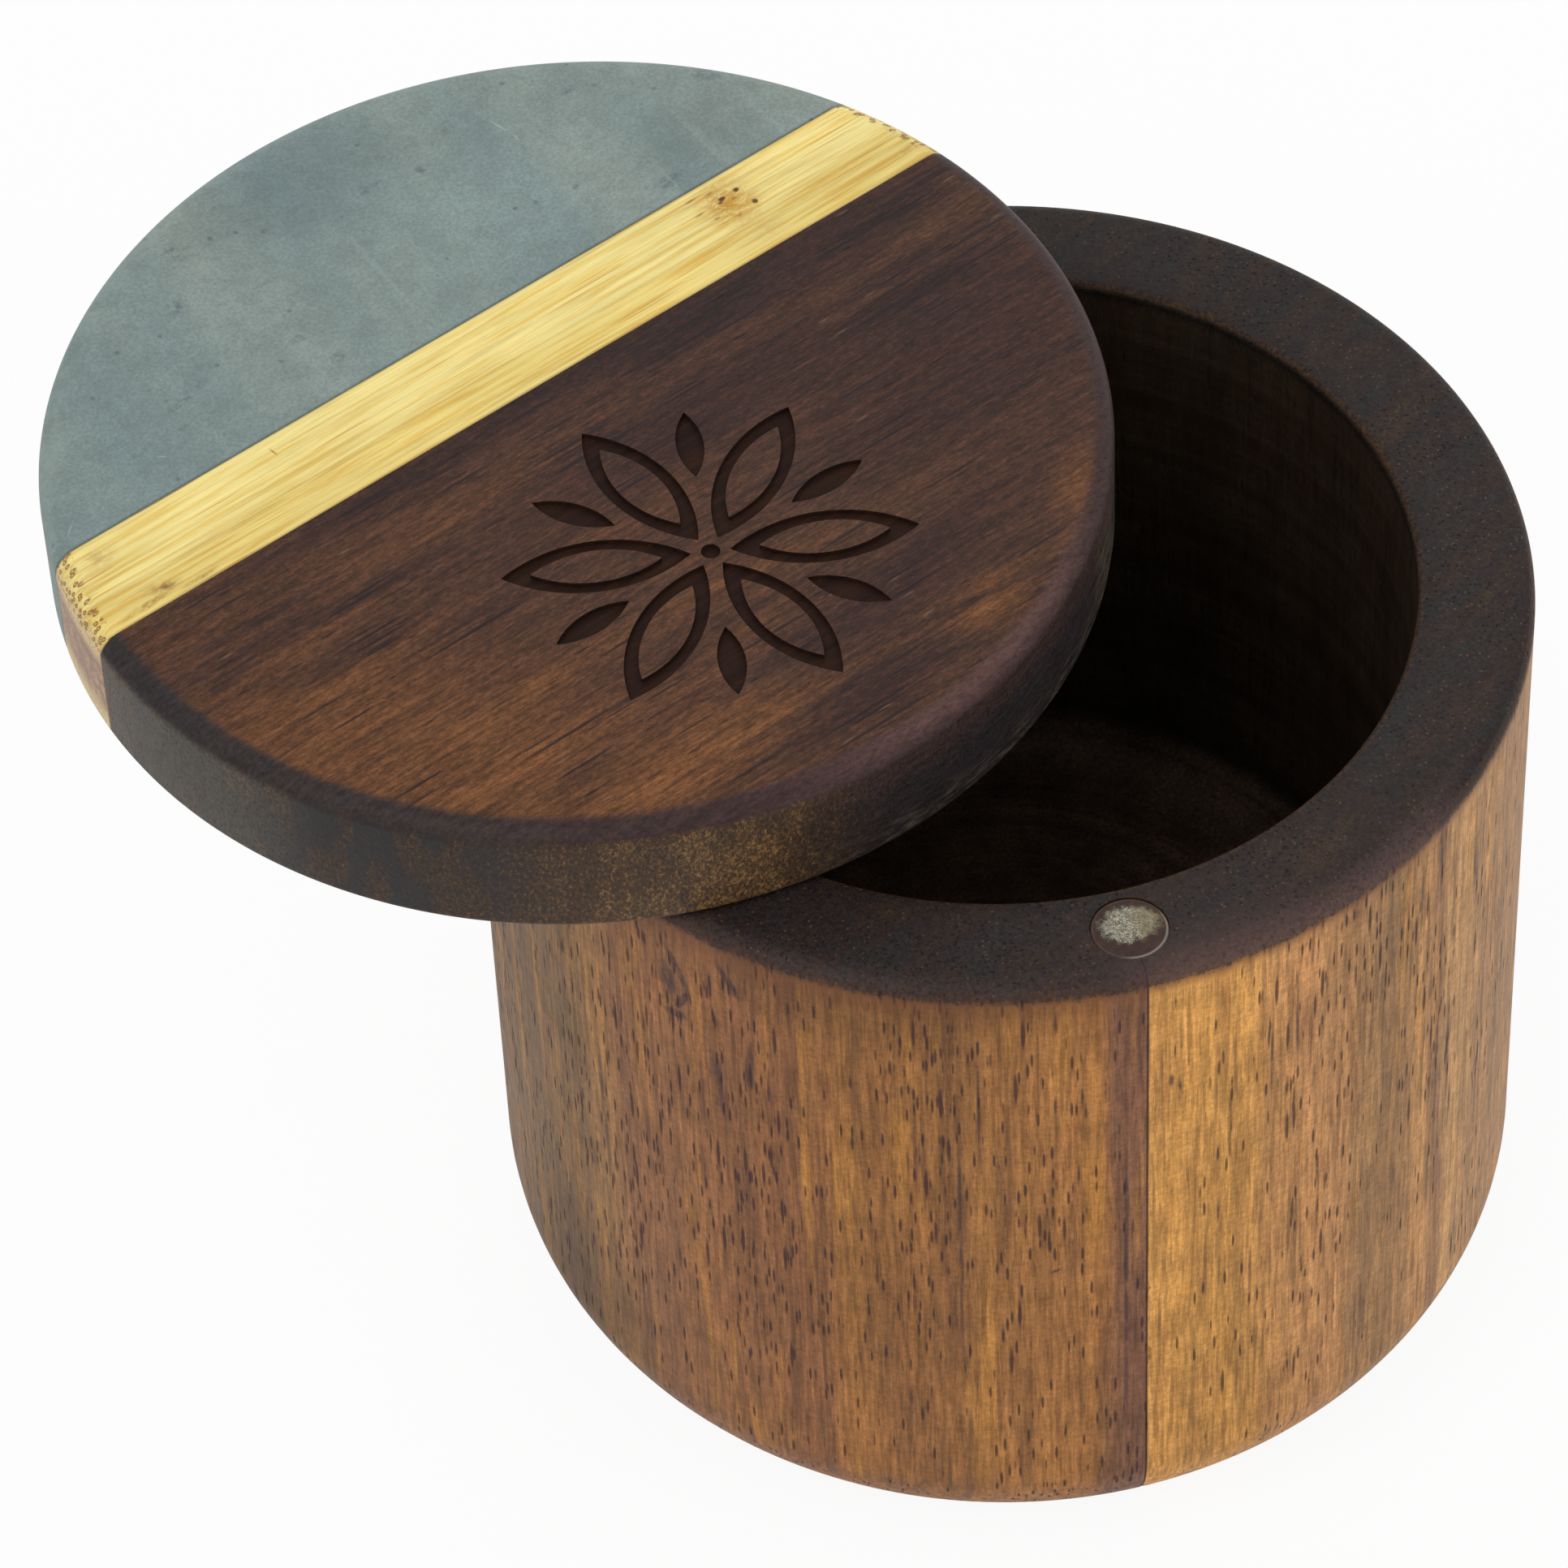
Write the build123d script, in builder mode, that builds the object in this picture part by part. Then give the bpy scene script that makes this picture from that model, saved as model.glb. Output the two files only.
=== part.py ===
from build123d import *
import os
from math import cos, radians, sin

os.makedirs("parts", exist_ok=True)

# Round salt box turned from a block of two glued boards, with a laminated lid.
# The lid turns sideways on a pin in the back wall. Two small magnets hold it shut.
# Millimetres. The origin is the centre of the base, +Z is up, the pin is at +Y
# and the rim magnet at -Y. The lid is drawn swung open, as the box stands in use.

# Box
box_diameter = 88.9
box_height = 76.2
bore_diameter = 69.4
cavity_depth = 58.5
cavity_corner_radius = 5.8
foot_round = 11.0
rim_chamfer_width = 1.3
rim_chamfer_height = 0.8
rim_inner_chamfer = 0.4

# Lid, flush with the box wall when shut
lid_thickness = 11.1
lid_top_chamfer_width = 1.5
lid_top_chamfer_height = 1.1
lid_bottom_chamfer = 0.7
lid_running_gap = 0.3
open_angle = 53.7

# Laminations of the lid, measured across it from its centre towards the stone
strip_angle_when_shut = 77.6
dark_wood_edge = 5.8
narrow_strip_width = 3.7
wide_strip_width = 6.1

# Pivot
pin_diameter = 5.0
pin_seat_depth = 20.0
pin_chamfer = 0.5
bush_wall = 1.0
bush_length = 7.5
bush_running_clearance = 0.05
bore_end_clearance = 0.5
glue_film = 0.05

# Magnets
magnet_diameter = 6.35
magnet_thickness = 3.0
magnet_edge_chamfer = 0.25
magnet_recess = 0.1

# Sizes and places that follow from those above
box_radius = box_diameter / 2
bore_radius = bore_diameter / 2
lid_radius = box_radius
foot_radius = box_radius - foot_round
floor_height = box_height - cavity_depth
floor_radius = bore_radius - cavity_corner_radius
corner_top = floor_height + cavity_corner_radius
lid_underside = box_height + lid_running_gap

# The pin and the rim magnet sit in the middle of the flat of the rim
rim_flat_outer = box_radius - rim_chamfer_width
rim_flat_inner = bore_radius + rim_inner_chamfer
pivot_radius = (rim_flat_outer + rim_flat_inner) / 2
pivot_y = pivot_radius
magnet_y = -pivot_radius

pin_radius = pin_diameter / 2
pin_base = box_height - pin_seat_depth
bush_bore_radius = pin_radius + bush_running_clearance
bush_radius = bush_bore_radius + bush_wall
pin_top = lid_underside + bush_length
lid_bore_depth = bush_length + bore_end_clearance
magnet_radius = magnet_diameter / 2
magnet_pocket_depth = magnet_recess + magnet_thickness

narrow_strip_edge = dark_wood_edge + narrow_strip_width
stone_edge = narrow_strip_edge + wide_strip_width


def turned_about_pivot(distance_in_front, angle):
    """Place of a point that lies that far in front of the pin when the lid is shut."""
    return (
        distance_in_front * sin(radians(angle)),
        pivot_y - distance_in_front * cos(radians(angle)),
    )


# The open lid's own plane: x runs along the laminations, z is up
lid_x, lid_y = turned_about_pivot(pivot_radius, -open_angle)
lid_magnet_x, lid_magnet_y = turned_about_pivot(pivot_y - magnet_y, -open_angle)
strip_angle = strip_angle_when_shut - open_angle
lid_plane = Plane(
    origin=(lid_x, lid_y, lid_underside),
    x_dir=(cos(radians(strip_angle)), sin(radians(strip_angle)), 0),
    z_dir=(0, 0, 1),
)
lid_axis = Axis(lid_plane.origin, lid_plane.z_dir)
lid_section_plane = Plane(lid_plane.origin, x_dir=lid_plane.x_dir, z_dir=-lid_plane.y_dir)

# Mouths of the blind holes, each facing out of its piece
pin_seat_mouth = Plane((0, pivot_y, box_height))
rim_pocket_mouth = Plane((0, magnet_y, box_height))
lid_bore_mouth = Plane((0, pivot_y, lid_underside), z_dir=(0, 0, -1))
lid_pocket_mouth = Plane((lid_magnet_x, lid_magnet_y, lid_underside), z_dir=(0, 0, -1))


def glue_joint(distance_across):
    """Upright plane along the laminations, facing the stone."""
    on_joint = lid_plane.from_local_coords((0, distance_across, 0))
    return Plane(on_joint, x_dir=lid_plane.x_dir, z_dir=lid_plane.y_dir)


# Half section of the turned box: rounded foot, wall, eased rim, coved cavity and floor
with BuildSketch(Plane.XZ) as box_section:
    with BuildLine():
        Line((0, 0), (foot_radius, 0))
        CenterArc((foot_radius, foot_round), foot_round, start_angle=-90, arc_size=90)
        Polyline(
            (box_radius, foot_round),
            (box_radius, box_height - rim_chamfer_height),
            (rim_flat_outer, box_height),
            (rim_flat_inner, box_height),
            (bore_radius, box_height - rim_inner_chamfer),
            (bore_radius, corner_top),
        )
        CenterArc((floor_radius, corner_top), cavity_corner_radius, start_angle=0, arc_size=-90)
        Polyline((floor_radius, floor_height), (0, floor_height), (0, 0))
    make_face()

# Half section of the lid: a disc, well eased above and broken below
with BuildSketch(lid_section_plane) as lid_section:
    with BuildLine():
        Polyline(
            (0, 0),
            (lid_radius - lid_bottom_chamfer, 0),
            (lid_radius, lid_bottom_chamfer),
            (lid_radius, lid_thickness - lid_top_chamfer_height),
            (lid_radius - lid_top_chamfer_width, lid_thickness),
            (0, lid_thickness),
            close=True,
        )
    make_face()

# The block is glued up from two boards, turned, and then drilled in the joint
with BuildPart() as box_block:
    revolve(box_section.sketch, axis=Axis.Z)
    with Locations(pin_seat_mouth):
        Hole(pin_radius + glue_film, pin_seat_depth)
    with Locations(rim_pocket_mouth):
        Hole(magnet_radius + glue_film, magnet_pocket_depth)

# Left board of the box
with BuildPart() as box_left_half:
    add(box_block.part)
    split(bisect_by=Plane.YZ, keep=Keep.BOTTOM)
box_left_half.part.label = "box_left_half"
export_step(box_left_half.part, "parts/box_left_half.step")

# Right board of the box
with BuildPart() as box_right_half:
    add(box_block.part)
    split(bisect_by=Plane.YZ, keep=Keep.TOP)
box_right_half.part.label = "box_right_half"
export_step(box_right_half.part, "parts/box_right_half.step")

# Steel pin, glued into the back wall, with both ends chamfered
with BuildPart() as pivot_pin:
    with BuildSketch(Plane((0, pivot_y, pin_base))):
        Circle(pin_radius)
    extrude(amount=pin_top - pin_base)
    chamfer(pivot_pin.edges().filter_by(GeomType.CIRCLE), pin_chamfer)
pivot_pin.part.label = "pivot_pin"
export_step(pivot_pin.part, "parts/pivot_pin.step")

# Brass sleeve glued into the lid, running on the pin
with BuildPart() as pivot_bush:
    with BuildSketch(Plane((0, pivot_y, lid_underside))):
        Circle(bush_radius)
        Circle(bush_bore_radius, mode=Mode.SUBTRACT)
    extrude(amount=bush_length)
pivot_bush.part.label = "pivot_bush"
export_step(pivot_bush.part, "parts/pivot_bush.step")


def magnet_disc(top_of_disc):
    """Disc magnet whose outer face looks along the plane's z."""
    with BuildPart() as disc:
        with BuildSketch(top_of_disc):
            Circle(magnet_radius)
        extrude(amount=-magnet_thickness)
        chamfer(disc.edges().filter_by(GeomType.CIRCLE), magnet_edge_chamfer)
    return disc.part


# Magnet in the rim, just below flush
with BuildPart() as rim_magnet:
    add(magnet_disc(rim_pocket_mouth.offset(-magnet_recess)))
rim_magnet.part.label = "rim_magnet"
export_step(rim_magnet.part, "parts/rim_magnet.step")

# Its partner in the underside of the lid, over it when the lid is shut
with BuildPart() as lid_magnet:
    add(magnet_disc(lid_pocket_mouth.offset(-magnet_recess)))
lid_magnet.part.label = "lid_magnet"
export_step(lid_magnet.part, "parts/lid_magnet.step")

# The lid is glued up as one disc, its edges are eased, and it is drilled from below
with BuildPart() as lid_disc:
    revolve(lid_section.sketch, axis=lid_axis)
    with Locations(lid_bore_mouth):
        Hole(bush_radius + glue_film, lid_bore_depth)
    with Locations(lid_pocket_mouth):
        Hole(magnet_radius + glue_film, magnet_pocket_depth)

# Stone segment of the lid
with BuildPart() as lid_slate:
    add(lid_disc.part)
    split(bisect_by=glue_joint(stone_edge), keep=Keep.TOP)
lid_slate.part.label = "lid_slate"
export_step(lid_slate.part, "parts/lid_slate.step")

# Bamboo strip beside the stone
with BuildPart() as lid_bamboo_wide_strip:
    add(lid_disc.part)
    split(bisect_by=glue_joint(stone_edge), keep=Keep.BOTTOM)
    split(bisect_by=glue_joint(narrow_strip_edge), keep=Keep.TOP)
lid_bamboo_wide_strip.part.label = "lid_bamboo_wide_strip"
export_step(lid_bamboo_wide_strip.part, "parts/lid_bamboo_wide_strip.step")

# Bamboo strip beside the dark wood
with BuildPart() as lid_bamboo_narrow_strip:
    add(lid_disc.part)
    split(bisect_by=glue_joint(narrow_strip_edge), keep=Keep.BOTTOM)
    split(bisect_by=glue_joint(dark_wood_edge), keep=Keep.TOP)
lid_bamboo_narrow_strip.part.label = "lid_bamboo_narrow_strip"
export_step(lid_bamboo_narrow_strip.part, "parts/lid_bamboo_narrow_strip.step")

# Dark wood, the largest segment of the lid
with BuildPart() as lid_dark_wood:
    add(lid_disc.part)
    split(bisect_by=glue_joint(dark_wood_edge), keep=Keep.BOTTOM)
lid_dark_wood.part.label = "lid_dark_wood"
export_step(lid_dark_wood.part, "parts/lid_dark_wood.step")
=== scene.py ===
from collections import namedtuple
from math import asin, cos, pi, radians, sin, sqrt

import bmesh
import bpy
from mathutils import Matrix, Vector, geometry, noise


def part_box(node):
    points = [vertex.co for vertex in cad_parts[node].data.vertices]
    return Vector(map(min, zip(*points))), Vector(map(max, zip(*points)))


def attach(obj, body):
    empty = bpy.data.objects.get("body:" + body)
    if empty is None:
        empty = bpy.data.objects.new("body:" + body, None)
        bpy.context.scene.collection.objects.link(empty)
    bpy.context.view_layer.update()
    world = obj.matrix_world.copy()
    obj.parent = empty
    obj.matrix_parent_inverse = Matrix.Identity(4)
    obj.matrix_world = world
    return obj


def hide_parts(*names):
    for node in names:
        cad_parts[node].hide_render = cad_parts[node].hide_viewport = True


# Looks of the round wooden salt box and its stone, bamboo and dark wood lid.
# Metres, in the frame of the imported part. Names that end in _MM or _mm hold millimetres instead,
# and so do the lists of marks.
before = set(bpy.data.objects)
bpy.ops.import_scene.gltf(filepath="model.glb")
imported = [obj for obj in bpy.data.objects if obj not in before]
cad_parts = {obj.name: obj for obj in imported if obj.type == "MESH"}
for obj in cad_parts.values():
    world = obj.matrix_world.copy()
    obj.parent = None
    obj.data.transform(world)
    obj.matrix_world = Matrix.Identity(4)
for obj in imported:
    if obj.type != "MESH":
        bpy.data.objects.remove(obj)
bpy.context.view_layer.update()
MM = 0.001

# Sizes read from the frame
LID_NODES = ("lid_slate", "lid_bamboo_wide_strip", "lid_bamboo_narrow_strip", "lid_dark_wood")
lid_corners = [corner for node in LID_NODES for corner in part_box(node)]
lid_low = Vector(min(corner[axis] for corner in lid_corners) for axis in range(3))
lid_high = Vector(max(corner[axis] for corner in lid_corners) for axis in range(3))
lid_centre = (lid_low + lid_high) / 2
lid_radius = (lid_high.x - lid_low.x) / 2
lid_thickness = lid_high.z - lid_low.z
box_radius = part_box("box_right_half")[1].x
box_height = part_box("box_right_half")[1].z

# Turned forms of the box
bore_radius = 34.7 * MM
cavity_depth = 58.5 * MM
cove_radius = 5.8 * MM
foot_round = 11 * MM
rim_round_width = 1.5 * MM
rim_round_height = 1.3 * MM
rim_inner_round = 0.8 * MM
wood_waver = 0.02 * MM

# Glue joints: a fine V where two pieces meet
joint_ease = 0.05 * MM
filler_gap_width = 0.45 * MM
filler_gap_depth = 0.3 * MM

# Laminations of the lid, measured across it from its centre towards the stone
strip_angle = radians(23.9)
dark_wood_edge = 5.8 * MM
narrow_strip_edge = 9.5 * MM
stone_edge = 15.6 * MM
lid_round_width = 2 * MM
lid_round_height = 1.7 * MM
lid_bottom_round = 0.7 * MM
LID_ORIGIN = (lid_centre.x, lid_centre.y, lid_low.z)
LID_MATRIX = Matrix.Translation(LID_ORIGIN) @ Matrix.Rotation(strip_angle, 4, "Z")

# Engraved six-petal rosette, in the middle of the dark wood
rosette_across = -18.1 * MM
engraving_depth = 0.45 * MM
petal_count = 6
petal_inner = 1.6 * MM
petal_outer = 17.2 * MM
petal_width = 5.6 * MM
petal_stroke = 1.05 * MM
petal_tip = 2.3 * petal_stroke
leaf_inner = 8.4 * MM
leaf_outer = 15.8 * MM
leaf_width = 2.3 * MM
rosette_eye = 0.8 * MM

# Pivot and magnets
glue_film = 0.05 * MM
rim_pocket_film = 0.4 * glue_film
mouth_ease = 0.03 * MM
bore_end_clearance = 0.5 * MM
magnet_face_round = 0.25 * MM

# Places that the materials use. The rim is burnished from 1.8 mm below its top, in full from 0.9 mm.
BOX_RADIUS_MM = box_radius / MM
BOX_HEIGHT_MM = box_height / MM
BORE_RADIUS_MM = bore_radius / MM
INNER_ROUND_MM = rim_inner_round / MM
CAVITY_FLOOR_MM = (box_height - cavity_depth) / MM
RING_BOW_MM = 420
BURNISH_WANDER_MM = 2
BURNISH_START_MM = BOX_HEIGHT_MM - 1.8 + BURNISH_WANDER_MM
BURNISH_FULL_MM = BOX_HEIGHT_MM - 0.9 + BURNISH_WANDER_MM
LID_RADIUS_MM = lid_radius / MM
STONE_EDGE_MM = stone_edge / MM
LID_EDGE_START_MM = LID_RADIUS_MM - 2.4
LID_EDGE_MIDDLE_MM = LID_RADIUS_MM - 0.9
RAGGED_MARK_MM = 1


# Shader nodes

def paint(hex_colour):
    """Linear colour, with alpha, of a colour written as on a screen."""
    channels = [int(hex_colour[start:start + 2], 16) / 255 for start in (1, 3, 5)]
    linear = [c / 12.92 if c <= 0.04045 else ((c + 0.055) / 1.055) ** 2.4 for c in channels]
    return (*linear, 1)


def feed(tree, value, socket):
    """Link a node's output to a socket, or write a plain value into it."""
    if isinstance(value, bpy.types.NodeSocket):
        tree.links.new(value, socket)
    else:
        socket.default_value = value


def add_node(tree, kind, inputs, **settings):
    """Outputs of a new shader node with those settings and inputs."""
    node = tree.nodes.new("ShaderNode" + kind)
    for setting, value in settings.items():
        setattr(node, setting, value)
    for key, value in inputs.items():
        feed(tree, value, node.inputs[key])
    return node.outputs


class Recipe:
    """A procedural material. Its places are in millimetres, in axes set by an origin and a turn."""

    def __init__(self, name, specular, origin=(0, 0, 0), turn=0):
        self.material = bpy.data.materials.new(name)
        self.material.use_nodes = True
        self.tree = self.material.node_tree
        self.shader = self.tree.nodes["Principled BSDF"]
        self.shader.inputs["Specular IOR Level"].default_value = specular
        source = self.node("TexCoord", {})
        self.facing_along, _, self.facing_up = self.parts(self.mapped(source["Normal"], turn=turn))
        self.place = self.mapped(source["Object"], origin, turn, (MM, MM, MM))
        self.x, self.y, self.z = self.parts(self.place)

    def node(self, kind, inputs, **settings):
        return add_node(self.tree, kind, inputs, **settings)

    def mapped(self, vector, location=(0, 0, 0), turn=0, scale=(1, 1, 1)):
        """The vector as seen from that location, turned about Z and divided by the scale."""
        inputs = {"Vector": vector, "Location": location, "Rotation": (0, 0, turn), "Scale": scale}
        return self.node("Mapping", inputs, vector_type="TEXTURE")["Vector"]

    def parts(self, vector):
        """X, Y and Z of a vector."""
        return tuple(self.node("SeparateXYZ", {"Vector": vector}))

    def vector(self, x, y, z=0):
        return self.node("CombineXYZ", {"X": x, "Y": y, "Z": z})["Vector"]

    def length(self, vector):
        return self.node("VectorMath", {0: vector}, operation="LENGTH")["Value"]

    def from_axis(self):
        """Distance from the upright axis through the origin."""
        return self.length(self.vector(self.x, self.y))

    def around(self, radius_mm):
        """Way round that axis from the X axis, at that radius."""
        return self.times(self.math("ARCTAN2", self.y, self.x), radius_mm)

    def math(self, operation, first, second=0, third=0):
        return self.node("Math", {0: first, 1: second, 2: third}, operation=operation)["Value"]

    def times(self, *values):
        """Product of several values."""
        product = values[0]
        for value in values[1:]:
            product = self.math("MULTIPLY", product, value)
        return product

    def overlap(self, *fades):
        """Product of several fades, each written as (value, start, end) and any levels."""
        return self.times(*[self.fade(*fade) for fade in fades])

    def gather(self, marks):
        """The strongest of several marks at each place."""
        strongest = marks[0]
        for mark in marks[1:]:
            strongest = self.math("MAXIMUM", strongest, mark)
        return strongest

    def all_but(self, mask):
        return self.math("SUBTRACT", 1, mask)

    def noise(self, vector, scale, detail=3, roughness=0.5, distortion=0):
        return self.node("TexNoise", {
            "Vector": vector,
            "Scale": scale,
            "Detail": detail,
            "Roughness": roughness,
            "Distortion": distortion,
        })["Fac"]

    def grain(self, stretch, scale, detail=3, roughness=0.5, distortion=0):
        """Noise drawn out along the axes by the stretch."""
        return self.noise(self.mapped(self.place, scale=stretch), scale, detail, roughness, distortion)

    def cells(self, vector, scale, dimensions="3D"):
        """Distance to the nearest of scattered points, and a random number for each point."""
        found = self.node("TexVoronoi", {"Vector": vector, "Scale": scale}, voronoi_dimensions=dimensions)
        return found["Distance"], self.parts(found["Color"])[0]

    def fade(self, value, start, end, at_start=0, at_end=1):
        """A smooth step from one level to another between two values."""
        inputs = {"Value": value, "From Min": start, "From Max": end, "To Min": at_start, "To Max": at_end}
        return self.node("MapRange", inputs, interpolation_type="SMOOTHSTEP")["Result"]

    def ramp(self, value, stops):
        """Colours along a value, from a list of (place, colour)."""
        colour = self.node("ValToRGB", {"Fac": value})["Color"]
        elements = colour.node.color_ramp.elements
        for element, (position, colour_name) in zip(elements, (stops[0], stops[-1])):
            element.position = position
            element.color = paint(colour_name)
        for position, colour_name in stops[1:-1]:
            elements.new(position).color = paint(colour_name)
        return colour

    def mix(self, factor, first, second, mode="MIX"):
        return self.node("Mix", {0: factor, 6: first, 7: second}, data_type="RGBA", blend_type=mode)[2]

    def blend(self, factor, first_name, second_name):
        """From one plain colour to another."""
        return self.mix(factor, paint(first_name), paint(second_name))

    def brighten(self, colour, level):
        """The colour times a level that changes over the surface."""
        return self.mix(1, colour, self.vector(level, level, level), "MULTIPLY")

    def vary(self, colour, *noises):
        """The colour made darker where each noise is low and lighter where it is high."""
        for value, low, high in noises:
            colour = self.brighten(colour, self.fade(value, 0.3, 0.7, low, high))
        return colour

    def stain(self, colour, mask, strength, stain_name):
        """Another colour laid over this one where the mask is one."""
        return self.mix(self.times(mask, strength), colour, paint(stain_name))

    def spot(self, vector, centre, size, turn=0, soft=1):
        """One in the middle of an oval mark, fading to nothing at its edge."""
        inside = self.mapped(vector, (*centre, 0), turn, (*size, 1e6))
        return self.fade(self.length(inside), 1, 1 - soft)

    def spots(self, vector, marks):
        """The strongest of several oval marks at each place."""
        return self.gather([self.spot(vector, *mark) for mark in marks])

    def shaded(self, colour, vector, fields):
        """The colour made lighter or darker in broad oval fields, by their gain."""
        for centre, size, gain in fields:
            colour = self.brighten(colour, self.fade(self.spot(vector, centre, size), 0, 1, 1, gain))
        return colour

    def dashes(self, stretch, scale, share, crowd, width):
        """Thin separate dashes along the axis that is stretched: a share of them, more in a crowd."""
        distance, chance = self.cells(self.mapped(self.place, scale=stretch), scale)
        chance = self.math("ADD", chance, crowd)
        return self.overlap((distance, width, 0.5 * width), (chance, 1 - share, 1.12 - share))

    def finish(self, colour, roughness, *bumps):
        """The material, with its relief laid on in bumps of (height, depth in millimetres)."""
        relief = {}
        for height, depth_mm in bumps:
            bump = self.node("Bump", {"Height": height, "Distance": depth_mm * MM, **relief})
            relief = {"Normal": bump["Normal"]}
        for key, value in {"Base Color": colour, "Roughness": roughness, **relief}.items():
            feed(self.tree, value, self.shader.inputs[key])
        return self.material


# Materials of the box

Board = namedtuple("Board", "name side bands dull_name fringe_mm pore_share dense_zones shades marks")


def acacia(board):
    """Turned acacia, dark on its end grain and inside."""
    wood = Recipe(board.name, 0.15)
    unrolled = wood.vector(wood.around(BOX_RADIUS_MM), wood.z)
    from_axis = wood.from_axis()
    streaks = wood.grain((1, 1, 20), 0.8, 5, 0.7)
    fibres = wood.grain((1, 1, 15), 2.3, 4, 0.78)
    rays = wood.grain((1.3, 1.3, 1), 2.6, 4, 0.8)
    grit = wood.noise(wood.place, 3, 4, 0.85)
    colour = acacia_figure(wood, board, streaks, fibres, rays)
    colour = wood.shaded(colour, unrolled, board.shades)

    # Dark pores: short dashes on the wall, dots on the rim, in crowds and alone, over long faint lines
    crowd = wood.fade(wood.grain((1, 1, 5), 0.12, 2), 0.35, 0.68, -0.22, 0.18)
    crowd = wood.math("MULTIPLY_ADD", wood.spots(unrolled, board.dense_zones), 0.35, crowd)
    pores = wood.gather([
        wood.dashes((1, 1, 8), 2.6, board.pore_share, crowd, 0.38),
        wood.dashes((1, 1, 12), 1.6, 0.5 * board.pore_share, crowd, 0.32),
    ])
    long_lines = wood.dashes((1, 1, 30), 1.7, 0.4, crowd, 0.4)
    colour = wood.stain(colour, long_lines, 0.45, "#5E3E2E")
    colour = wood.stain(colour, pores, 0.78, "#35272F")

    # Single marks of the wall
    ragged = wood.fade(wood.grain((1, 1, 3), 1.1, 3, 0.7), 0.3, 0.55, 0.25, 1)
    marks = wood.times(wood.spots(unrolled, board.marks), ragged)
    colour = wood.stain(colour, marks, 0.8, "#3A2A2E")

    # The dark of the end grain runs over the edge of the rim to a ragged border, with a brown fringe
    border = wood.math("MULTIPLY_ADD", fibres, BURNISH_WANDER_MM, wood.z)
    border = wood.math("MULTIPLY_ADD", rays, BURNISH_WANDER_MM, border)
    fringe = wood.fade(border, BURNISH_START_MM - board.fringe_mm, BURNISH_START_MM + 0.3)
    colour = wood.stain(colour, fringe, 0.5, "#6E432B")
    ends = wood.gather([
        wood.fade(wood.facing_up, 0.3, 0.8),
        wood.fade(wood.facing_up, -0.86, -0.99),
        wood.times(wood.fade(border, BURNISH_START_MM, BURNISH_FULL_MM), 0.92),
    ])
    colour = wood.mix(ends, colour, acacia_end_grain(wood, from_axis, grit, pores))
    colour = rim_wear_and_highlight(wood, colour, from_axis, grit)
    inside = wood.overlap(
        (from_axis, BORE_RADIUS_MM + 0.4 * INNER_ROUND_MM, BORE_RADIUS_MM - 0.05),
        (wood.z, CAVITY_FLOOR_MM - 1.5, CAVITY_FLOOR_MM - 1),
    )
    colour = wood.mix(inside, colour, acacia_inside(wood, from_axis, grit))

    # The glue line
    glue = wood.times(wood.fade(wood.math("ABSOLUTE", wood.x), 0.15, 0.05), wood.all_but(ends))
    colour = wood.stain(colour, glue, 0.8, "#2E2024")

    # Satin finish with open pores and a little fibre relief
    roughness = wood.math("MULTIPLY_ADD", pores, 0.2, wood.fade(streaks, 0.25, 0.75, 0.48, 0.6))
    return wood.finish(colour, roughness, (wood.all_but(pores), 0.07), (fibres, 0.03), (grit, 0.03))


def acacia_figure(wood, board, streaks, fibres, rays):
    """Bands of growth rings, nearly flat beside the glue joint and bowed towards the back."""
    back = wood.math("ADD", wood.y, BOX_RADIUS_MM)
    bow = wood.math("DIVIDE", wood.times(back, back), RING_BOW_MM)
    wander = wood.fade(wood.grain((1, 1, 9), 0.09), 0.25, 0.75, -1.8, 1.8)
    ring = wood.math("MULTIPLY_ADD", wood.x, board.side, wood.math("ADD", bow, wander))
    colour = wood.ramp(wood.math("DIVIDE", ring, BOX_RADIUS_MM), board.bands)

    # Streaks along the grain, golden or greyer, then fine fibres and a ripple across them
    colour = wood.vary(colour, (streaks, 0.8, 1.22))
    tint = wood.noise(wood.mapped(wood.place, (3, 8, 0), scale=(1, 1, 14)), 0.4, 4, 0.65)
    colour = wood.stain(colour, wood.fade(tint, 0.54, 0.72), 0.4, board.dull_name)
    colour = wood.stain(colour, wood.fade(tint, 0.48, 0.3), 0.45, "#C98C3E")
    ripple = wood.grain((4.5, 4.5, 1), 0.42, 4, 0.62, 0.3)
    return wood.vary(colour, (fibres, 0.62, 1.36), (ripple, 0.89, 1.08), (rays, 0.8, 1.18))


def acacia_end_grain(wood, from_axis, grit, pores):
    """End grain drinks the oil and turns nearly black, with golden specks and blue-grey swathes."""
    cloud = wood.noise(wood.mapped(wood.place, turn=radians(35), scale=(3.5, 1, 1)), 0.3, 5, 0.65)
    colour = wood.ramp(cloud, [(0.36, "#262322"), (0.46, "#271F1E"), (0.56, "#2C211C"), (0.68, "#35271E")])
    colour = wood.vary(colour, (grit, 0.4, 1.75))
    distance, chance = wood.cells(wood.place, 1.9)
    golden = wood.overlap((distance, 0.28, 0.1), (chance, 0.2, 0.9))
    colour = wood.stain(colour, golden, 0.45, "#7E5A3E")
    # Painted shade: the end grain is darker towards the back
    colour = wood.brighten(colour, wood.fade(wood.y, 0, 28, 1, 0.72))
    from_mouth = wood.fade(from_axis, BORE_RADIUS_MM + 0.3, BORE_RADIUS_MM + 3.1, 0.72, 1)
    colour = wood.brighten(colour, from_mouth)
    return wood.stain(colour, pores, 0.4, "#151214")


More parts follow.
